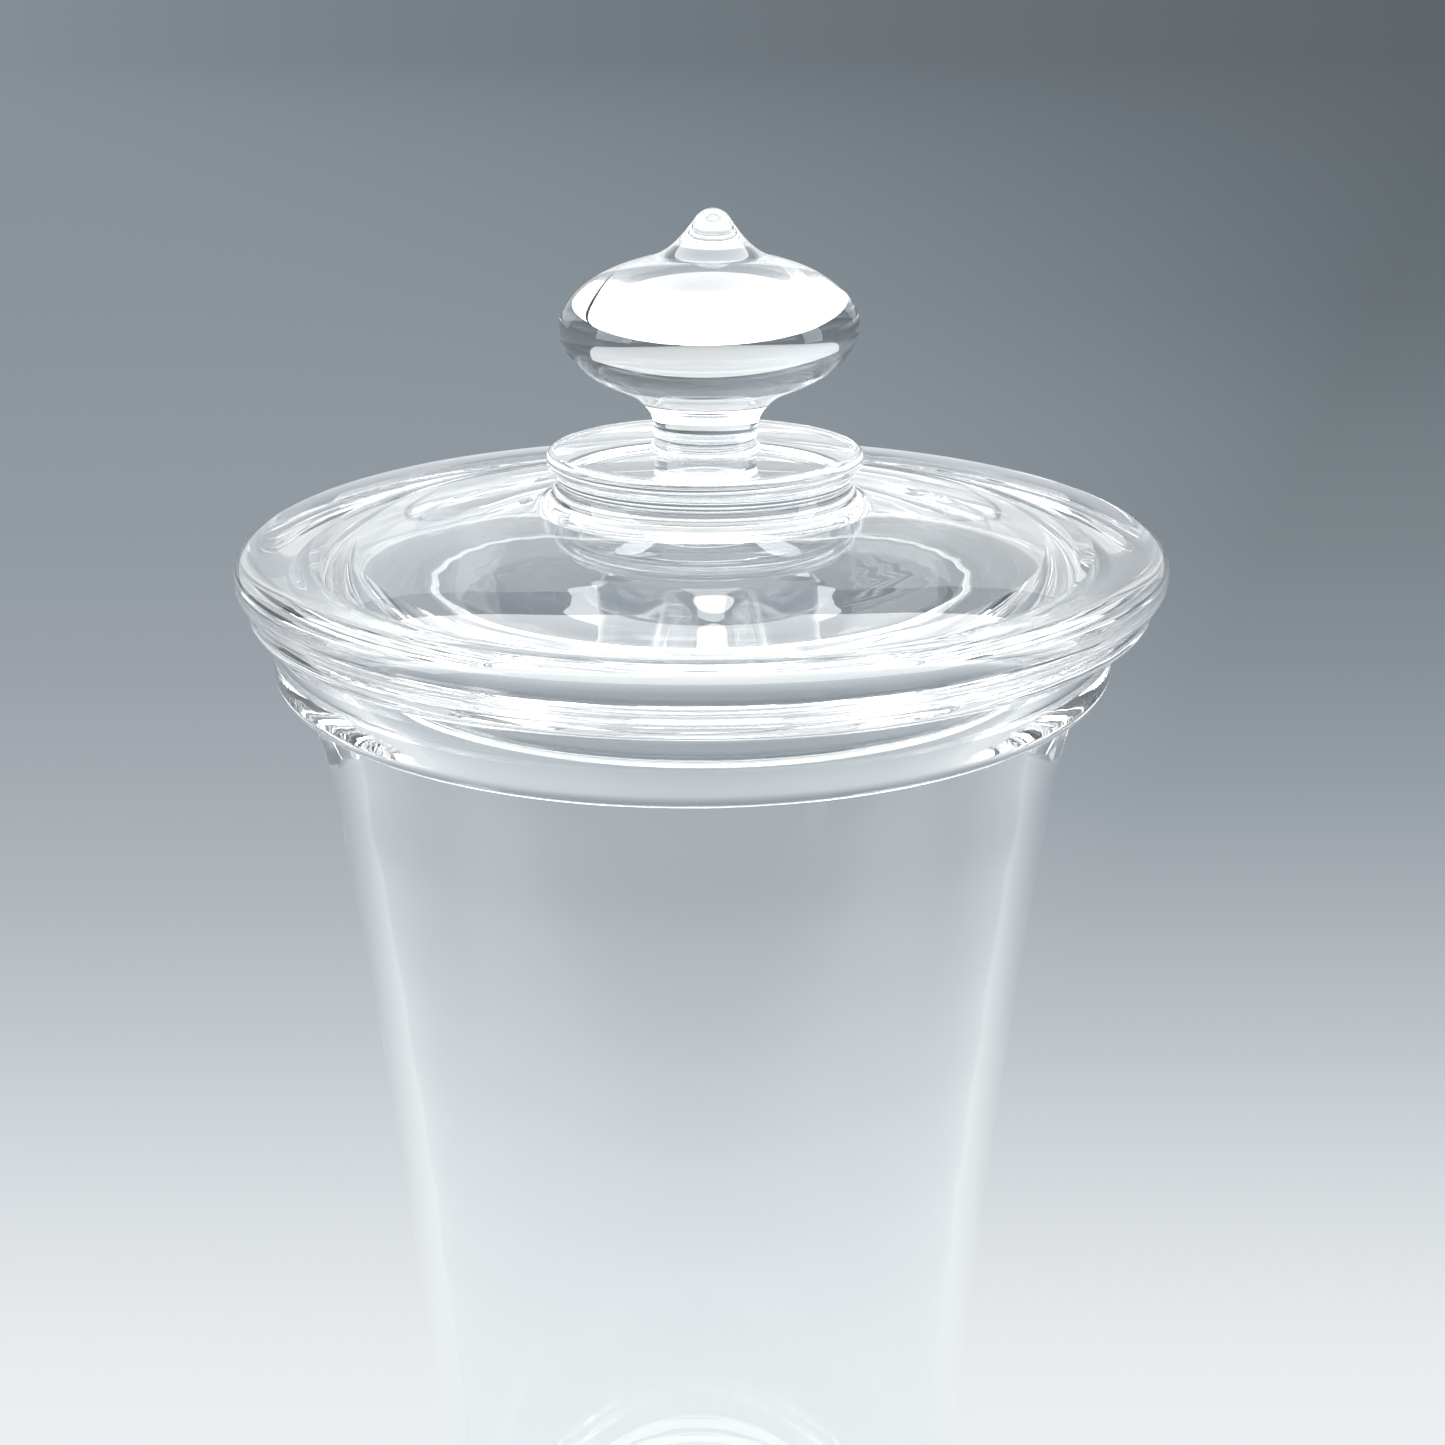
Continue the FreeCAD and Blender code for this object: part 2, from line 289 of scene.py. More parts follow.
@dataclass(frozen=True)
class SodaLimeGlass:
    """Clear soda-lime glass, blown and fire-polished.

    Fire polish leaves a surface with no grain at all, so the roughness is nearly nothing. What
    the eye gets is a faint unevenness a few millimetres long, drawn out round the axis by the
    turning, and a trace of cool tint where the glass is thick.
    """

    name: str
    tint: str = "#fdfefe"
    ior: float = 1.52
    roughness: float = 0.0
    streak_width_mm: float = 5.0
    streak_length_mm: float = 30.0
    streak_depth_mm: float = 0.002
    streak_detail: float = 2.0
    streak_softness: float = 0.4

    def make(self) -> bpy.types.Material:
        """Makes the material.

        Returns:
            The material with its nodes.
        """
        material = bpy.data.materials.new(self.name)
        material.use_nodes = True
        tree = material.node_tree
        shader = tree.nodes["Principled BSDF"]
        shader.inputs["Base Color"].default_value = linear(self.tint)
        shader.inputs["Roughness"].default_value = self.roughness
        shader.inputs["IOR"].default_value = self.ior
        shader.inputs["Transmission Weight"].default_value = 1.0
        place = add_node(tree, "ShaderNodeTexCoord")
        across, along = 1 / (self.streak_length_mm * MM), 1 / (self.streak_width_mm * MM)
        stretch = add_node(tree, "ShaderNodeMapping", {"Scale": (across, across, along)},
                           Vector=place.outputs["Object"])
        streaks = add_node(tree, "ShaderNodeTexNoise",
                           {"Scale": 1.0, "Detail": self.streak_detail,
                            "Roughness": self.streak_softness},
                           Vector=stretch.outputs["Vector"])
        bump = add_node(tree, "ShaderNodeBump",
                        {"Strength": 1.0, "Distance": self.streak_depth_mm * MM},
                        Height=streaks.outputs["Fac"])
        tree.links.new(bump.outputs["Normal"], shader.inputs["Normal"])
        return material


@dataclass(frozen=True)
class FusedWeld:
    """The plane where two gathers are fused: glass on both sides, so nothing can be seen."""

    name: str = "fused_weld"

    def make(self) -> bpy.types.Material:
        """Makes the material.

        Returns:
            The material, which lets light straight through.
        """
        material = bpy.data.materials.new(self.name)
        material.use_nodes = True
        tree = material.node_tree
        tree.nodes.remove(tree.nodes["Principled BSDF"])
        clear = add_node(tree, "ShaderNodeBsdfTransparent")
        tree.links.new(clear.outputs["BSDF"], tree.nodes["Material Output"].inputs["Surface"])
        return material


# ------------------------------------------------------------------------------- turned glass

@dataclass
class TurningIron:
    """Turns outlines into pieces, with the small faults that hand work leaves."""

    steps_round: int = 448
    out_of_round: float = 0.0035     # share of the radius
    ripple_depth: float = 0.006 * MM
    ripple_length: float = 24 * MM
    ripple_softness: float = 0.3
    seed: float = 7.0
    lid_shift: float = 1.0 * MM      # how far off centre the loose lid lies
    knob_lean: float = 0.035         # shift per unit of height over the seat
    # Each swelling: lobes round the axis, twist in radians per metre of height, start in radians
    swellings: tuple[tuple[int, float, float], ...] = ((2, 9.0, 0.6), (3, -14.0, 2.1))

    def __post_init__(self) -> None:
        """Reads the seat's height and builds the tree once; every piece uses both."""
        self.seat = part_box("lid_seat_ring")[0].z
        self.weld_material = FusedWeld().make()
        self.tree = self.build_tree()

    def build_tree(self) -> bpy.types.NodeTree:
        """Builds the Geometry Nodes tree: outline, turn, unevenness, skins.

        Returns:
            The tree, which takes an outline and gives the piece.
        """
        tree = bpy.data.node_groups.new("turned_glass", "GeometryNodeTree")
        face = tree.interface
        face.new_socket("Outline", in_out="INPUT", socket_type="NodeSocketGeometry")
        face.new_socket("Steps round", in_out="INPUT", socket_type="NodeSocketInt")
        for name in ("Out of round", "Ripple depth", "Ripple length", "Seed", "Seat", "Shift",
                     "Lean"):
            face.new_socket(name, in_out="INPUT", socket_type="NodeSocketFloat")
        for name in ("Glass", "Weld"):
            face.new_socket(name, in_out="INPUT", socket_type="NodeSocketMaterial")
        face.new_socket("Piece", in_out="OUTPUT", socket_type="NodeSocketGeometry")
        given = tree.nodes.new("NodeGroupInput").outputs

        outline = add_node(tree, "GeometryNodeMeshToCurve", Mesh=given["Outline"])
        round_path = add_node(tree, "GeometryNodeCurvePrimitiveCircle", {"Radius": TURN_RADIUS},
                              Resolution=given["Steps round"])
        turned = add_node(tree, "GeometryNodeCurveToMesh",
                          Curve=round_path.outputs["Curve"],
                          Profile_Curve=outline.outputs["Curve"])
        closed = add_node(tree, "GeometryNodeMergeByDistance", {"Distance": MERGE_DISTANCE},
                          Geometry=turned.outputs["Mesh"])

        place = add_node(tree, "GeometryNodeInputPosition").outputs["Position"]
        parts = add_node(tree, "ShaderNodeSeparateXYZ", Vector=place)
        angle = add_node(tree, "ShaderNodeMath", {"operation": "ARCTAN2"},
                         n0=parts.outputs["Y"], n1=parts.outputs["X"])
        swell = self.swelling(tree, angle.outputs[0], parts.outputs["Z"],
                              given["Out of round"])
        flat = add_node(tree, "ShaderNodeCombineXYZ", X=parts.outputs["X"],
                        Y=parts.outputs["Y"])
        pushed = add_node(tree, "ShaderNodeVectorMath", {"operation": "SCALE"},
                          n0=flat.outputs["Vector"], Scale=swell)
        count = add_node(tree, "ShaderNodeMath", {"operation": "DIVIDE", 0: 1.0},
                         n1=given["Ripple length"])
        noise = add_node(tree, "ShaderNodeTexNoise",
                         {"noise_dimensions": "4D", "Detail": 1.0,
                          "Roughness": self.ripple_softness},
                         Vector=place, W=given["Seed"], Scale=count.outputs[0])
        level = add_node(tree, "ShaderNodeVectorMath",
                         {"operation": "SUBTRACT", 1: (0.5, 0.5, 0.5)},
                         n0=noise.outputs["Color"])
        ripple = add_node(tree, "ShaderNodeVectorMath", {"operation": "SCALE"},
                          n0=level.outputs["Vector"], Scale=given["Ripple depth"])
        shift = add_node(tree, "ShaderNodeVectorMath", {"operation": "ADD"},
                         n0=pushed.outputs["Vector"], n1=ripple.outputs["Vector"])
        over = add_node(tree, "ShaderNodeMath", {"operation": "SUBTRACT"},
                        n0=parts.outputs["Z"], n1=given["Seat"])
        rise = add_node(tree, "ShaderNodeMath", {"operation": "MAXIMUM", 1: 0.0},
                        n0=over.outputs[0])
        lean = add_node(tree, "ShaderNodeMath", {"operation": "MULTIPLY_ADD"},
                        n0=rise.outputs[0], n1=given["Lean"], n2=given["Shift"])
        aside = add_node(tree, "ShaderNodeCombineXYZ", X=lean.outputs[0])
        moved = add_node(tree, "ShaderNodeVectorMath", {"operation": "ADD"},
                         n0=shift.outputs["Vector"], n1=aside.outputs["Vector"])
        uneven = add_node(tree, "GeometryNodeSetPosition", Geometry=closed.outputs["Geometry"],
                          Offset=moved.outputs["Vector"])

        smooth = add_node(tree, "GeometryNodeSetShadeSmooth",
                          Geometry=uneven.outputs["Geometry"])
        whole = add_node(tree, "GeometryNodeRealizeInstances",
                         Geometry=smooth.outputs["Geometry"])
        glass = add_node(tree, "GeometryNodeSetMaterial", Geometry=whole.outputs["Geometry"],
                         Material=given["Glass"])
        skin = add_node(tree, "GeometryNodeInputNamedAttribute",
                        {"data_type": "FLOAT", "Name": "skin"})
        inside = add_node(tree, "FunctionNodeCompare",
                          {"data_type": "FLOAT", "operation": "GREATER_THAN", 1: WELD_FROM},
                          n0=skin.outputs["Attribute"])
        welded = add_node(tree, "GeometryNodeSetMaterial", Geometry=glass.outputs["Geometry"],
                          Selection=inside.outputs["Result"], Material=given["Weld"])
        result = tree.nodes.new("NodeGroupOutput")
        tree.links.new(welded.outputs["Geometry"], result.inputs["Piece"])
        return tree

    def swelling(self, tree: bpy.types.NodeTree, angle: bpy.types.NodeSocket,
                 height: bpy.types.NodeSocket,
                 amount: bpy.types.NodeSocket) -> bpy.types.NodeSocket:
        """How far the glass is out of round.

        Args:
            tree: The tree that the nodes go in.
            angle: Angle round the axis.
            height: Height over the table.
            amount: The most that the radius changes, as a share of it.

        Returns:
            The share of the radius by which a point moves, as a socket.
        """
        waves = []
        for lobes, twist, phase in self.swellings:
            turned = add_node(tree, "ShaderNodeMath", {"operation": "MULTIPLY", 1: lobes},
                              n0=angle)
            slid = add_node(tree, "ShaderNodeMath",
                            {"operation": "MULTIPLY_ADD", 1: twist, 2: phase}, n0=height)
            total = add_node(tree, "ShaderNodeMath", {"operation": "ADD"},
                             n0=turned.outputs[0], n1=slid.outputs[0])
            wave = add_node(tree, "ShaderNodeMath", {"operation": "COSINE"},
                            n0=total.outputs[0])
            waves.append(wave.outputs[0])
        both = add_node(tree, "ShaderNodeMath", {"operation": "ADD"}, n0=waves[0], n1=waves[1])
        mean = add_node(tree, "ShaderNodeMath",
                        {"operation": "MULTIPLY", 1: 1 / len(self.swellings)},
                        n0=both.outputs[0])
        return add_node(tree, "ShaderNodeMath", {"operation": "MULTIPLY"},
                        n0=mean.outputs[0], n1=amount).outputs[0]

    def outline_mesh(self, name: str, stretches: list[Stretch]) -> bpy.types.Mesh:
        """A closed chain of edges through the stretches, with the skin on its points.

        Args:
            name: The mesh's name.
            stretches: Stretches that meet end to end, round the whole outline.

        Returns:
            The chain, with each radius counted from the turning circle.
        """
        points: list[Point] = []
        skins: list[float] = []
        for stretch in stretches:
            last = len(stretch.points) - 1
            for index, point in enumerate(stretch.points[:-1]):
                inner = stretch.skin is Skin.WELD and 0 < index < last
                points.append(point)
                skins.append((Skin.WELD if inner else Skin.POLISHED).value)
        if points[0][0] < ON_AXIS and stretches[-1].points[-1][0] < ON_AXIS:
            points.append(stretches[-1].points[-1])
            skins.append(Skin.POLISHED.value)
            edges = [(i, i + 1) for i in range(len(points) - 1)]
        else:
            edges = [(i, (i + 1) % len(points)) for i in range(len(points))]
        mesh = bpy.data.meshes.new(name)
        mesh.from_pydata([(radius - TURN_RADIUS, -height, 0) for radius, height in points],
                         edges, [])
        skin = mesh.attributes.new("skin", "FLOAT", "POINT")
        skin.data.foreach_set("value", skins)
        return mesh

    def turn(self, name: str, stretches: list[Stretch], glass: bpy.types.Material,
             body: str, slot: str) -> bpy.types.Object:
        """Turns one piece, makes it a plain mesh and puts it in its node's place.

        Args:
            name: The CAD node that the piece stands for, and the piece's own name.
            stretches: The outline.
            glass: The piece's glass.
            body: The body that it rides on.
            slot: The record's material slot; not used.

        Returns:
            The finished piece.
        """
        blank = bpy.data.objects.new(f"{name}_blank", self.outline_mesh(name, stretches))
        bpy.context.scene.collection.objects.link(blank)
        modifier = blank.modifiers.new("turning", "NODES")
        modifier.node_group = self.tree
        values = {
            "Steps round": self.steps_round,
            "Out of round": self.out_of_round,
            "Ripple depth": self.ripple_depth,
            "Ripple length": self.ripple_length,
            "Seed": self.seed,
            "Seat": self.seat,
            "Shift": self.lid_shift if body == "lid" else 0.0,
            "Lean": self.knob_lean if body == "lid" else 0.0,
            "Glass": glass,
            "Weld": self.weld_material,
        }
        for item in self.tree.interface.items_tree:
            if item.in_out == "INPUT" and item.name in values:
                modifier[item.identifier] = values[item.name]
        graph = bpy.context.evaluated_depsgraph_get()
        mesh = bpy.data.meshes.new_from_object(blank.evaluated_get(graph))
        blank.modifiers.remove(modifier)
        bpy.data.objects.remove(blank)
        self.finish_mesh(mesh)
        piece = bpy.data.objects.new(f"{name}_glass", mesh)
        bpy.context.scene.collection.objects.link(piece)
        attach(piece, body)
        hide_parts(name)
        log.info("%s: %d faces, %s", piece.name, len(mesh.polygons),
                 [material.name for material in mesh.materials])
        return piece

    @staticmethod
    def finish_mesh(mesh: bpy.types.Mesh) -> None:
        """Turns faces outwards and puts a hard edge round every weld, so that it bends no light.

        Args:
            mesh: The turned mesh, changed in place.
        """
        work = bmesh.new()
        work.from_mesh(mesh)
        bmesh.ops.recalc_face_normals(work, faces=work.faces)
        for edge in work.edges:
            skins = {face.material_index for face in edge.link_faces}
            edge.smooth = len(skins) == 1
        work.to_mesh(mesh)
        work.free()


# --------------------------------------------------------------------------------------- jar

@dataclass
class Jar:
    """Tapered jar: thick foot, drawn-in wall that flares at the top, fat lip."""

    wall: float = 4.2 * MM
    wall_bow: float = 2.18 * MM         # how far the wall is drawn in over its length
    foot_round: float = 3.2 * MM
    floor: float = 8.5 * MM
    punt_radius: float = 27 * MM
    punt_depth: float = 3.0 * MM
    shoulder_drop: float = 32.7 * MM    # from the top of the lip to where the flare starts
    shoulder_radius: float = 50.7 * MM
    mouth_radius: float = 53.2 * MM
    lip_lower_round: float = 2.2 * MM
    lip_upper_round: float = 1.4 * MM
    mouth_round: float = 1.0 * MM
    contact_gap: float = 0.2 * MM       # uneven glass touches the lid at a few points only
    heel_taper: float = 0.15 * MM       # how much narrower the foot is than the heel
    ring_depth: float = 0.03 * MM       # rings inside the wall
    ring_length: float = 17 * MM
    flare_heading: float = 68.0         # headings in degrees, 0 outwards and 90 upwards
    corner_heading: float = 88.0
    heel_heading: float = 267.0
    punt_heading: float = 167.0
    mouth_headings: tuple[float, float] = (268.0, 252.0)

    def __post_init__(self) -> None:
        """Reads the places that pieces share from the frame."""
        foot_low, foot_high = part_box("jar_foot")
        lip_low, lip_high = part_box("jar_lip")
        wall_low, wall_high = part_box("jar_wall")
        self.ground = foot_low.z
        self.heel_top = foot_high.z
        self.heel_radius = foot_high.x
        self.lip_bottom = lip_low.z
        self.lip_top = lip_high.z - self.contact_gap
        self.lip_radius = lip_high.x
        self.neck_radius = wall_high.x
        self.shoulder = lip_high.z - self.shoulder_drop
        self.foot_radius = self.heel_radius - self.heel_taper

    def side(self, inset: float) -> list[Stretch]:
        """The wall's side from the heel up to the neck.

        Args:
            inset: Depth under the wall's outside.

        Returns:
            The drawn-in stretch and the flare.
        """
        low = (self.heel_radius - inset, self.heel_top)
        shoulder = (self.shoulder_radius - inset, self.shoulder)
        neck = (self.neck_radius - inset, self.lip_bottom)
        lean = math.degrees(math.atan2(shoulder[1] - low[1], shoulder[0] - low[0]))
        chord = math.dist(low, shoulder)
        half_turn = math.degrees(math.atan(4 * self.wall_bow / chord))
        drawn = bend(low, lean + half_turn, shoulder, lean - half_turn, 48)
        flare = bend(shoulder, lean - half_turn, neck, self.flare_heading, 20)
        return [drawn, flare]

    def make_foot(self, iron: TurningIron, glass: bpy.types.Material) -> None:
        """Thick bottom with the inside corner, on a ground ring round a shallow hollow.

        Args:
            iron: Turns the outline.
            glass: The jar's glass.
        """
        floor = self.ground + self.floor
        low_corner = (self.foot_radius, self.ground + self.foot_round)
        inside = self.heel_radius - self.wall
        corner = inside - (self.heel_top - floor)
        bottom = self.foot_radius - self.foot_round
        iron.turn("jar_foot", [
            straight((0, floor), (corner, floor), 24),
            bend((corner, floor), 0, (inside, self.heel_top), self.corner_heading, 20),
            weld((inside, self.heel_top), (self.heel_radius, self.heel_top)),
            bend((self.heel_radius, self.heel_top), self.heel_heading,
                 low_corner, self.heel_heading, 8),
            bend(low_corner, self.heel_heading, (bottom, self.ground), 180, 12),
            straight((bottom, self.ground), (self.punt_radius, self.ground), 4),
            bend((self.punt_radius, self.ground), self.punt_heading,
                 (0, self.ground + self.punt_depth), 180, 24),
        ], glass, "jar", "jar_glass")

    def make_wall(self, iron: TurningIron, glass: bpy.types.Material) -> None:
        """Blown wall, even in thickness, with faint rings inside.

        Args:
            iron: Turns the outline.
            glass: The jar's glass.
        """
        outside = self.side(0.0)
        inside = [rippled(stretch, self.ring_depth, self.ring_length, lift=False)
                  for stretch in self.side(self.wall)]
        down = [Stretch(stretch.points[::-1]) for stretch in reversed(inside)]
        iron.turn("jar_wall", [
            *outside,
            weld(outside[-1].points[-1], down[0].points[0]),
            *down,
            weld(down[-1].points[-1], outside[0].points[0]),
        ], glass, "jar", "jar_glass")

    def make_lip(self, iron: TurningIron, glass: bpy.types.Material) -> None:
        """Fat lip: folded band with soft edges and a nearly flat top.

        Args:
            iron: Turns the outline.
            glass: The jar's glass.
        """
        neck_in = self.neck_radius - self.wall
        low, high, out = self.lip_bottom, self.lip_top, self.lip_radius
        under = out - self.lip_lower_round
        iron.turn("jar_lip", [
            weld((neck_in, low), (self.neck_radius, low)),
            straight((self.neck_radius, low), (under, low), 2),
            bend((under, low), 0, (out, low + self.lip_lower_round), 90, 16),
            straight((out, low + self.lip_lower_round), (out, high - self.lip_upper_round), 8),
            bend((out, high - self.lip_upper_round), 90, (out - self.lip_upper_round, high),
                 180, 12),
            straight((out - self.lip_upper_round, high),
                     (self.mouth_radius + self.mouth_round, high), 6),
            bend((self.mouth_radius + self.mouth_round, high), 180,
                 (self.mouth_radius, high - self.mouth_round), 270, 12),
            bend((self.mouth_radius, high - self.mouth_round), self.mouth_headings[0],
                 (neck_in, low), self.mouth_headings[1], 16),
        ], glass, "jar", "jar_glass")

    def build(self, iron: TurningIron) -> None:
        """Makes all the pieces of the jar.

        Args:
            iron: Turns the outlines.
        """
        glass = SodaLimeGlass("blown_soda_lime_glass", streak_depth_mm=0.004).make()
        self.make_foot(iron, glass)
        self.make_wall(iron, glass)
        self.make_lip(iron, glass)


# --------------------------------------------------------------------------------------- lid

@dataclass
class Lid:
    """Solid lid: flange, seat ring, rolled rim, domed plate, neck, disc and knob."""

    seat_round: float = 0.9 * MM
    groove: float = 0.9 * MM           # how far the groove under the roll is cut in
    flange_thickness: float = 4.0 * MM
    flange_round: float = 1.7 * MM
    crease_drop: float = 1.3 * MM      # from the roll's top to the crease beside the plate
    crest_share: float = 1.1           # the roll's crest lies this many half heights in
    hollow_rise: float = 5.5 * MM
    neck_top_radius: float = 20.6 * MM
    disc_round: float = 1.15 * MM
    stem_radius: float = 7.05 * MM
    stem_foot: float = 1.8 * MM        # height of the spread foot of the stem
    stem_foot_radius: float = 7.9 * MM
    stem_straight: float = 0.7 * MM
    flare_drop: float = 0.3 * MM       # the flare's end, under the top of the stem's node
    flare_blend: float = 4.0 * MM      # width over which the flare runs into the bulb
    ball_radius: float = 2.3 * MM
    ball_shoulder: float = 1.25 * MM   # from the tip's top down to the ball's widest ring
    tip_sag: float = 0.7 * MM          # how far the soft tip sank under its own weight
    ring_depth: float = 0.0025 * MM     # turning rings in the plate
    ring_length: float = 3.4 * MM
    hollow_ring_depth: float = 1.4     # shares of the plate's rings
    hollow_ring_length: float = 1.6
    hollow_heading: float = -13.5      # headings in degrees, 0 outwards and 90 upwards
    plate_headings: tuple[float, float] = (158.0, 174.0)
    neck_headings: tuple[float, float] = (258.0, -6.0)
    roll_start_heading: float = 8.0
    roll_start_pull: float = 0.36
    roll_end_heading: float = 190.0
    flare_heading: float = 209.0
    stem_foot_heading: float = 330.0
    ball_heading: float = 305.0
    tip_foot_turn: float = 3.0         # how much steeper the tip leaves than the bulb

    def __post_init__(self) -> None:
        """Reads the places that pieces share from the frame."""
        flange_low, flange_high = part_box("lid_flange")
        ring_low, ring_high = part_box("lid_seat_ring")
        roll_low, roll_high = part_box("lid_rim_roll")
        plate_low, plate_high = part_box("lid_plate")
        neck_low, neck_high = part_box("lid_neck")
        disc_low, disc_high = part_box("lid_disc")
        stem_low, stem_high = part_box("knob_stem")
        bulb_low, bulb_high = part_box("knob_bulb")
        tip_low, tip_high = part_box("knob_tip")
        self.flange_bottom, self.seat = flange_low.z, flange_high.z
        self.flange_out = flange_high.x
        self.flange_in = self.flange_out - self.flange_thickness
        self.ring_out, self.ring_top = ring_high.x, ring_high.z
        self.roll_out, self.roll_top = roll_high.x, roll_high.z
        self.roll_half = (roll_high.z - roll_low.z) / 2
        self.crease = (plate_high.x, self.roll_top - self.crease_drop)
        self.hollow_top = self.ring_top + self.hollow_rise
        self.neck_foot = (neck_high.x, neck_low.z)
        self.disc_bottom, self.disc_top = disc_low.z, disc_high.z
        self.disc_radius = disc_high.x
        self.stem_foot_edge = (self.stem_foot_radius, self.disc_top)
        self.stem_top = (stem_high.x, stem_high.z)
        self.tip_foot = (tip_high.x, tip_low.z)
        self.tip_top = tip_high.z
        self.bulb = Oval.between(bulb_high.x, self.stem_top, self.tip_foot)
        self.flare_top = (self.stem_top[0], self.stem_top[1] - self.flare_drop)

    def make_flange(self, iron: TurningIron, glass: bpy.types.Material) -> None:
        """Ring that hangs in the mouth, with a full round lower edge.

        Args:
            iron: Turns the outline.
            glass: The lid's glass.
        """
        low, top, r = self.flange_bottom, self.seat, self.flange_round
        out, inside = self.flange_out, self.flange_in
        iron.turn("lid_flange", [
            weld((inside, top), (out, top)),
            straight((out, top), (out, low + r), 8),
            bend((out, low + r), 270, (out - r, low), 180, 12),
            straight((out - r, low), (inside + r, low), 2),
            bend((inside + r, low), 180, (inside, low + r), 90, 12),
            straight((inside, low + r), (inside, top), 8),
        ], glass, "lid", "lid_glass")

    def make_seat_ring(self, iron: TurningIron, glass: bpy.types.Material) -> None:
        """Step under the roll: flat underneath, soft at its outer edge.

        Args:
            iron: Turns the outline.
            glass: The lid's glass.
        """
        r = self.seat_round
        groove = (self.ring_out - self.groove, self.ring_top)
        plate_edge = (self.crease[0], self.ring_top)
        iron.turn("lid_seat_ring", [
            weld((self.flange_in, self.ring_top), plate_edge),
            weld(plate_edge, groove),
            bend(groove, 0, (self.ring_out, self.ring_top - r), 270, 12),
            straight((self.ring_out, self.ring_top - r), (self.ring_out, self.seat + r), 2),
            bend((self.ring_out, self.seat + r), 270, (self.ring_out - r, self.seat), 180, 10),
            straight((self.ring_out - r, self.seat), (self.flange_out, self.seat), 16),
            weld((self.flange_out, self.seat), (self.flange_in, self.seat)),
            straight((self.flange_in, self.seat), (self.flange_in, self.ring_top), 4),
        ], glass, "lid", "lid_glass")

    def make_roll(self, iron: TurningIron, glass: bpy.types.Material) -> None:
        """Fat rolled edge: round nose, soft top, and a groove over the seat ring.

        Args:
            iron: Turns the outline.
            glass: The lid's glass.
        """
        nose = (self.roll_out, self.ring_top + self.roll_half)
        groove = (self.ring_out - self.groove, self.ring_top)
        crest = (self.roll_out - self.roll_half * self.crest_share, self.roll_top)
        iron.turn("lid_rim_roll", [
            weld(groove, (self.crease[0], self.ring_top)),
            weld((self.crease[0], self.ring_top), self.crease),
            bend(self.crease, self.roll_start_heading, crest, 0, 20,
                 pull=self.roll_start_pull),
            bend(crest, 0, nose, 270, 24),
            bend(nose, 270, groove, self.roll_end_heading, 22),
        ], glass, "lid", "lid_glass")

    def make_plate(self, iron: TurningIron, glass: bpy.types.Material) -> None:
        """Shallow dome with turning rings on top and underneath.

        Args:
            iron: Turns the outline.
            glass: The lid's glass.
        """
        leave, arrive = self.plate_headings
        top = bend(self.crease, leave, self.neck_foot, arrive, 84)
        hollow = bend((0, self.hollow_top), 0, (self.flange_in, self.ring_top),
                      self.hollow_heading, 84)
        iron.turn("lid_plate", [
            weld((self.crease[0], self.ring_top), (self.flange_in, self.ring_top)),
            rippled(Stretch(hollow.points[::-1]), self.ring_depth * self.hollow_ring_depth,
                    self.ring_length * self.hollow_ring_length, lift=True),
            weld((0, self.hollow_top), (0, self.neck_foot[1])),
            weld((0, self.neck_foot[1]), self.neck_foot),
            rippled(Stretch(top.points[::-1]), self.ring_depth, self.ring_length, lift=True),
            weld(self.crease, (self.crease[0], self.ring_top)),
        ], glass, "lid", "lid_glass")

    def make_neck(self, iron: TurningIron, glass: bpy.types.Material) -> None:
        """Waisted button between the plate and the disc.

        Args:
            iron: Turns the outline.
            glass: The lid's glass.
        """
        top = (self.neck_top_radius, self.disc_bottom)
        iron.turn("lid_neck", [
            weld((0, self.disc_bottom), top),
            bend(top, self.neck_headings[0], self.neck_foot, self.neck_headings[1], 28),
            weld(self.neck_foot, (0, self.neck_foot[1])),
        ], glass, "lid", "lid_glass")

    def make_disc(self, iron: TurningIron, glass: bpy.types.Material) -> None:
        """Thin disc with a round edge.

        Args:
            iron: Turns the outline.
            glass: The lid's glass.
        """
        r, out = self.disc_round, self.disc_radius
        low, top = self.disc_bottom, self.disc_top
        iron.turn("lid_disc", [
            weld((0, top), self.stem_foot_edge),
            straight(self.stem_foot_edge, (out - r, top), 16),
            bend((out - r, top), 0, (out, top - r), 270, 14),
            straight((out, top - r), (out, low + r), 2),
            bend((out, low + r), 270, (out - r, low), 180, 14),
            straight((out - r, low), (self.neck_top_radius, low), 2),
            weld((self.neck_top_radius, low), (0, low)),
        ], glass, "lid", "lid_glass")

    def make_stem(self, iron: TurningIron, glass: bpy.types.Material) -> None:
        """Stem that spreads on the disc and flares into the bulb.

        Args:
            iron: Turns the outline.
            glass: The lid's glass.
        """
        waist_low = (self.stem_radius, self.disc_top + self.stem_foot)
        waist_high = (self.stem_radius, waist_low[1] + self.stem_straight)
        iron.turn("knob_stem", [
            weld((0, self.flare_top[1]), self.flare_top),
            bend(self.flare_top, self.flare_heading, waist_high, 270, 28),
            straight(waist_high, waist_low, 6),
            bend(waist_low, 270, self.stem_foot_edge, self.stem_foot_heading, 14),
            weld(self.stem_foot_edge, (0, self.disc_top)),
        ], glass, "lid", "lid_glass")

    def make_bulb(self, iron: TurningIron, glass: bpy.types.Material) -> None:
        """Flattened solid bulb.

        Args:
            iron: Turns the outline.
            glass: The lid's glass.
        """
        under = self.bulb.below(self.flare_top[0] + self.flare_blend)
        iron.turn("knob_bulb", [
            weld((0, self.tip_foot[1]), self.tip_foot),
            self.bulb.arc(self.tip_foot, under, 72),
            bend(under, self.bulb.heading_at(under) % 360, self.flare_top,
                 self.flare_heading, 12),
            weld(self.flare_top, (0, self.flare_top[1])),
        ], glass, "lid", "lid_glass")

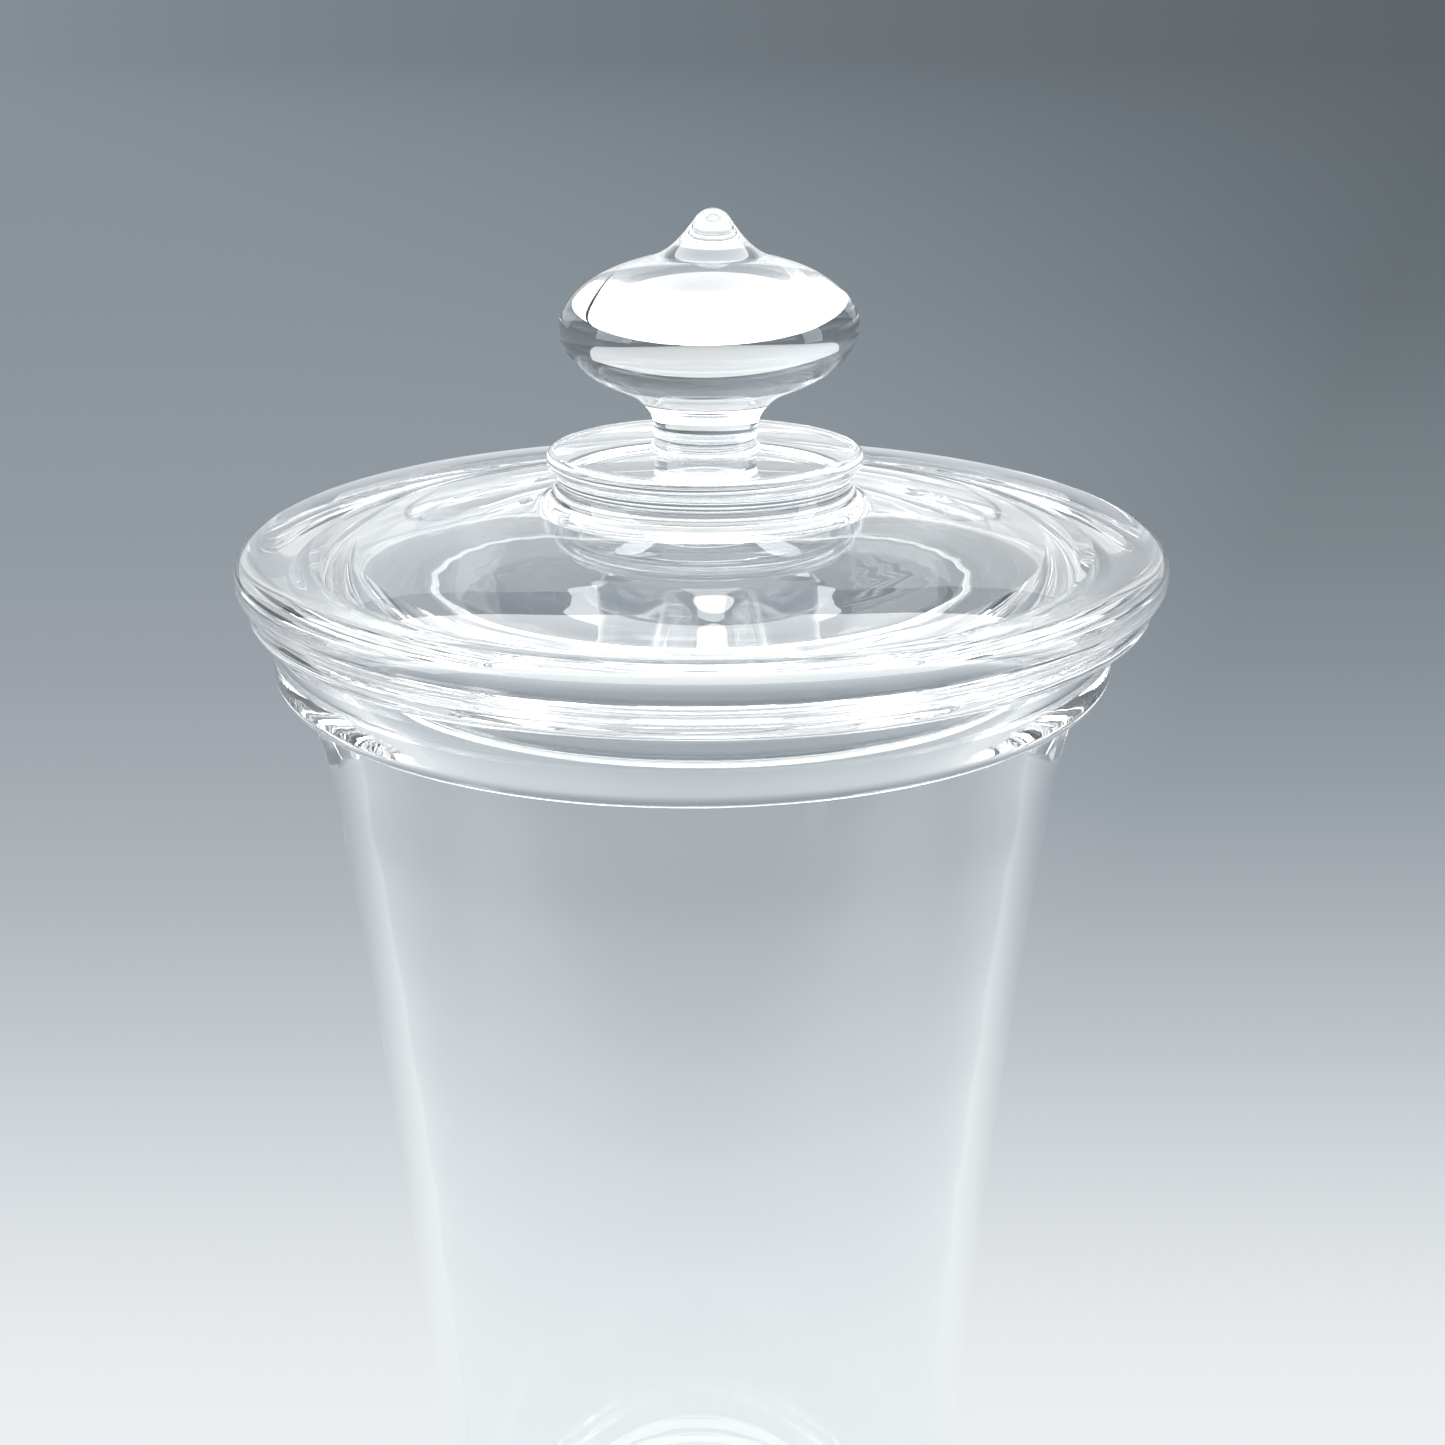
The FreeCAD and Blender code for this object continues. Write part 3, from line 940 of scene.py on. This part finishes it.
    def make_tip(self, iron: TurningIron, glass: bpy.types.Material) -> None:
        """Drawn-out tip that ends in a little ball.

        Args:
            iron: Turns the outline.
            glass: The lid's glass.
        """
        top = self.tip_top - self.tip_sag
        shoulder = (self.ball_radius, top - self.ball_shoulder)
        foot_heading = self.bulb.heading_at(self.tip_foot) - self.tip_foot_turn
        iron.turn("knob_tip", [
            bend((0, top), 0, shoulder, self.ball_heading, 18),
            bend(shoulder, self.ball_heading, self.tip_foot, foot_heading, 28),
            weld(self.tip_foot, (0, self.tip_foot[1])),
        ], glass, "lid", "lid_glass")

    def build(self, iron: TurningIron) -> None:
        """Makes all the pieces of the lid.

        Args:
            iron: Turns the outlines.
        """
        glass = SodaLimeGlass("solid_worked_soda_lime_glass").make()
        for make in (self.make_flange, self.make_seat_ring, self.make_roll, self.make_plate,
                     self.make_neck, self.make_disc, self.make_stem, self.make_bulb,
                     self.make_tip):
            make(iron, glass)


# ------------------------------------------------------------------------------------ studio

@dataclass(frozen=True)
class Softbox:
    """A rectangular soft light that is aimed at a point."""

    name: str
    place: tuple[float, float, float]
    aim: tuple[float, float, float]
    width: float
    height: float
    power: float

    def build(self) -> None:
        """Adds the light to the scene."""
        lamp = bpy.data.lights.new(self.name, "AREA")
        lamp.shape = "RECTANGLE"
        lamp.size, lamp.size_y = self.width, self.height
        lamp.energy = self.power
        holder = bpy.data.objects.new(self.name, lamp)
        holder.location = self.place
        way = Vector(self.aim) - Vector(self.place)
        holder.rotation_euler = way.to_track_quat("-Z", "Y").to_euler()
        holder.visible_camera = False
        bpy.context.scene.collection.objects.link(holder)


PAPER_FRONT = 0.6          # metres in front of the axis where the paper's painted light and shade start
PAPER_HALF_WAY = 0.6       # metres from that start to halfway between it and the horizon


@dataclass(frozen=True)
class PaintedLightTone:
    """Painted light and shade on the paper at a depth behind the canister's axis, at its left
    and right side; the right side is darker as painted shade.
    """

    depth: float
    left: str
    right: str

    def place(self) -> float:
        """Squeezes the depth, from the paper's start to the horizon, into 0 to 1.

        Returns:
            The depth as a share, where the horizon is 1.
        """
        near = self.depth + PAPER_FRONT
        return near / (near + PAPER_HALF_WAY)


# Painted light and shade on the paper: a pale pool of light round the canister, darker in front
# and greyer with depth, and darker on the right than on the left.
PAINTED_LIGHT_TONES = (
    PaintedLightTone(-PAPER_FRONT, "#6f777d", "#6f777d"), PaintedLightTone(-0.36, "#98a0a6", "#98a0a6"),
    PaintedLightTone(-0.24, "#c3c9ce", "#c3c9ce"), PaintedLightTone(-0.15, "#e6eaed", "#e6eaed"),
    PaintedLightTone(0.09, "#ebeff2", "#ebeff2"), PaintedLightTone(0.13, "#e5e9ec", "#e5e9ec"),
    PaintedLightTone(0.28, "#bdc4ca", "#b8bfc5"), PaintedLightTone(0.37, "#adb3ba", "#a4abb2"),
    PaintedLightTone(0.49, "#a0a7ae", "#9099a1"), PaintedLightTone(0.65, "#959ca5", "#818b93"),
    PaintedLightTone(0.88, "#8e979f", "#768086"), PaintedLightTone(1.9, "#8a949c", "#677076"),
    PaintedLightTone(60.0, "#8a939b", "#5c6469"),
)


@dataclass
class Studio:
    """Paper that glows with painted light and shade, going from white to grey with depth; soft
    lights and the camera.
    """

    table_radius: float = 12.0
    table_corners: int = 128
    table_drop: float = 0.3 * MM
    painted_glow: float = 0.97                  # share of the paper's painted light and shade that glows, so shadows don't dim it
    paint: float = 0.013                # the rest, which takes light and shadow
    half_spread: float = 0.35           # sine of the angle over which left turns into right
    room: str = "#1f2123"
    zenith: str = "#55595c"
    # How the run from left to right bends: places along the paper, and the powers there
    bend_places: tuple[float, float] = (0.75, 0.955)
    bend_powers: tuple[float, float] = (3.0, 0.65)
    # Parts of a direction, from -1 to 1, between which one tone of the surround meets the next
    zenith_rise: tuple[float, float] = (0.1, 0.8)
    room_rise: tuple[float, float] = (0.0, 0.3)
    front_turn: tuple[float, float] = (0.2, -0.3)
    light_bounces: int = 320            # light stays in thick glass for a long way
    camera_place: tuple[float, float, float] = (0.0041, -0.2712, 0.2974)
    camera_pitch: float = -19.74        # degrees below level
    focal_length: float = 49.83
    clip: tuple[float, float] = (0.01, 30.0)
    lights: tuple[Softbox, ...] = (
        Softbox("overhead_softbox", (0.0, 0.1, 1.2), (0, 0.1, 0.2), 3.0, 1.9, 76.0),
        Softbox("back_softbox", (-0.1, 1.25, 0.62), (0, 0, 0.25), 2.4, 0.75, 3.6),
        Softbox("left_softbox", (-1.1, -0.25, 0.75), (0, 0, 0.15), 0.8, 1.0, 8.0),
        Softbox("right_fill", (1.2, -0.1, 0.5), (0, 0, 0.15), 0.4, 0.8, 3.0),
    )

    def side_share(self, tree: bpy.types.NodeTree, place: bpy.types.NodeSocket,
                   power: bpy.types.NodeSocket | float) -> bpy.types.NodeSocket:
        """How far to the right of the canister a place or a direction lies, 0 to 1.

        Args:
            tree: The shader's tree.
            place: A place or a direction.
            power: Bends the run from left to right; 1 is even.

        Returns:
            The share as a socket.
        """
        level = add_node(tree, "ShaderNodeVectorMath",
                         {"operation": "MULTIPLY", 1: (1.0, 1.0, 0.0)}, n0=place)
        unit = add_node(tree, "ShaderNodeVectorMath", {"operation": "NORMALIZE"},
                        n0=level.outputs["Vector"])
        parts = add_node(tree, "ShaderNodeSeparateXYZ", Vector=unit.outputs["Vector"])
        even = add_node(tree, "ShaderNodeMapRange",
                        {"From Min": -self.half_spread, "From Max": self.half_spread},
                        Value=parts.outputs["X"])
        bent = add_node(tree, "ShaderNodeMath", {"operation": "POWER"},
                        n0=even.outputs["Result"])
        if isinstance(power, float):
            bent.inputs[1].default_value = power
        else:
            tree.links.new(power, bent.inputs[1])
        return bent.outputs[0]

    def painted_light_ramp(self, tree: bpy.types.NodeTree, share: bpy.types.NodeSocket,
                   side: str) -> bpy.types.NodeSocket:
        """The paper's painted light and shade along its depth, on one side.

        Args:
            tree: The shader's tree.
            share: Depth as a share.
            side: "left" or "right".

        Returns:
            The colour as a socket.
        """
        ramp = add_node(tree, "ShaderNodeValToRGB", Fac=share)
        points = ramp.color_ramp.elements
        for tone in PAINTED_LIGHT_TONES[1:-1]:
            points.new(tone.place())
        for point, tone in zip(points, PAINTED_LIGHT_TONES):
            point.position = tone.place()
            point.color = linear(getattr(tone, side))
        return ramp.outputs["Color"]

    def build_table(self) -> None:
        """Flat sheet of paper that glows with painted light and shade."""
        work = bmesh.new()
        bmesh.ops.create_circle(work, cap_ends=True, segments=self.table_corners,
                                radius=self.table_radius)
        mesh = bpy.data.meshes.new("table")
        work.to_mesh(mesh)
        work.free()
        mesh.transform(Matrix.Translation((0, 0, -self.table_drop)))
        material = bpy.data.materials.new("paper_with_painted_light")
        material.use_nodes = True
        tree = material.node_tree
        tree.nodes.remove(tree.nodes["Principled BSDF"])
        place = add_node(tree, "ShaderNodeTexCoord").outputs["Object"]
        parts = add_node(tree, "ShaderNodeSeparateXYZ", Vector=place)
        depth = add_node(tree, "ShaderNodeMath", {"operation": "MAXIMUM", 1: -PAPER_FRONT},
                         n0=parts.outputs["Y"])
        near = add_node(tree, "ShaderNodeMath", {"operation": "ADD", 1: PAPER_FRONT},
                        n0=depth.outputs[0])
        far = add_node(tree, "ShaderNodeMath", {"operation": "ADD", 1: PAPER_HALF_WAY},
                       n0=near.outputs[0])
        share = add_node(tree, "ShaderNodeMath", {"operation": "DIVIDE"},
                         n0=near.outputs[0], n1=far.outputs[0]).outputs[0]
        power = add_node(tree, "ShaderNodeMapRange",
                         {"From Min": self.bend_places[0], "From Max": self.bend_places[1],
                          "To Min": self.bend_powers[0], "To Max": self.bend_powers[1]},
                         Value=share)
        # Painted shade: the right side of the paper is darker than the left, as if lit from the
        # left.
        tone = add_node(tree, "ShaderNodeMix", {"data_type": "RGBA"},
                        n0=self.side_share(tree, place, power.outputs["Result"]),
                        n6=self.painted_light_ramp(tree, share, "left"),
                        n7=self.painted_light_ramp(tree, share, "right"))
        # The paper glows with its painted light and shade; only the small diffuse part takes the
        # lamps' light and shadow.
        painted_glow = add_node(tree, "ShaderNodeEmission", {"Strength": self.painted_glow},
                        Color=tone.outputs[2])
        paint = add_node(tree, "ShaderNodeBsdfDiffuse",
                         {"Color": (self.paint, self.paint, self.paint, 1.0)})
        both = add_node(tree, "ShaderNodeAddShader", n0=painted_glow.outputs["Emission"],
                        n1=paint.outputs["BSDF"])
        tree.links.new(both.outputs["Shader"],
                       tree.nodes["Material Output"].inputs["Surface"])
        mesh.materials.append(material)
        table = bpy.data.objects.new("table", mesh)
        bpy.context.scene.collection.objects.link(table)

    def build_world(self) -> None:
        """The paper's far tone behind the canister, darker to the right as painted shade, and a
        dim room in front and above.
        """
        world = bpy.data.worlds.new("surround")
        world.use_nodes = True
        bpy.context.scene.world = world
        tree = world.node_tree
        place = add_node(tree, "ShaderNodeTexCoord").outputs["Generated"]
        parts = add_node(tree, "ShaderNodeSeparateXYZ", Vector=place)
        last = PAINTED_LIGHT_TONES[-1]
        # Painted shade: the far paper is darker to the right than to the left.
        paper = add_node(tree, "ShaderNodeMix",
                         {"data_type": "RGBA", 6: linear(last.left), 7: linear(last.right)},
                         n0=self.side_share(tree, place, self.bend_powers[1]))
        upwards = add_node(tree, "ShaderNodeMapRange",
                           {"From Min": self.zenith_rise[0], "From Max": self.zenith_rise[1],
                            "interpolation_type": "SMOOTHSTEP"}, Value=parts.outputs["Z"])
        back = add_node(tree, "ShaderNodeMix", {"data_type": "RGBA", 7: linear(self.zenith)},
                        n0=upwards.outputs["Result"], n6=paper.outputs[2])
        forwards = add_node(tree, "ShaderNodeMapRange",
                            {"From Min": self.front_turn[0], "From Max": self.front_turn[1],
                             "interpolation_type": "SMOOTHSTEP"}, Value=parts.outputs["Y"])
        dusk = add_node(tree, "ShaderNodeMapRange",
                        {"From Min": self.room_rise[0], "From Max": self.room_rise[1],
                         "interpolation_type": "SMOOTHSTEP"}, Value=parts.outputs["Z"])
        front = add_node(tree, "ShaderNodeMix",
                         {"data_type": "RGBA", 6: linear(PAINTED_LIGHT_TONES[0].left),
                          7: linear(self.room)}, n0=dusk.outputs["Result"])
        full = add_node(tree, "ShaderNodeMix", {"data_type": "RGBA"},
                        n0=forwards.outputs["Result"], n6=back.outputs[2],
                        n7=front.outputs[2])
        tree.links.new(full.outputs[2], tree.nodes["Background"].inputs["Color"])

    def build_camera(self) -> None:
        """Camera in front of the canister, a little above its knob."""
        lens = bpy.data.cameras.new("camera")
        lens.lens = self.focal_length
        lens.clip_start, lens.clip_end = self.clip
        holder = bpy.data.objects.new("camera", lens)
        holder.location = self.camera_place
        holder.rotation_euler = (math.radians(90 + self.camera_pitch), 0, 0)
        bpy.context.scene.collection.objects.link(holder)
        bpy.context.scene.camera = holder

    def build(self) -> None:
        """Everything that isn't the canister."""
        self.build_table()
        self.build_world()
        for light in self.lights:
            light.build()
        self.build_camera()
        scene = bpy.context.scene
        scene.view_settings.view_transform = "Standard"
        scene.cycles.max_bounces = self.light_bounces
        scene.cycles.transmission_bounces = self.light_bounces
        scene.cycles.transparent_max_bounces = self.light_bounces
        scene.cycles.glossy_bounces = self.light_bounces
        scene.cycles.use_denoising = True


def main() -> None:
    """Builds the canister and its studio."""
    logging.basicConfig(level=logging.INFO, format="%(name)s %(message)s")
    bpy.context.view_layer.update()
    iron = TurningIron()
    Jar().build(iron)
    Lid().build(iron)
    Studio().build()


if __name__ == "__main__":
    main()
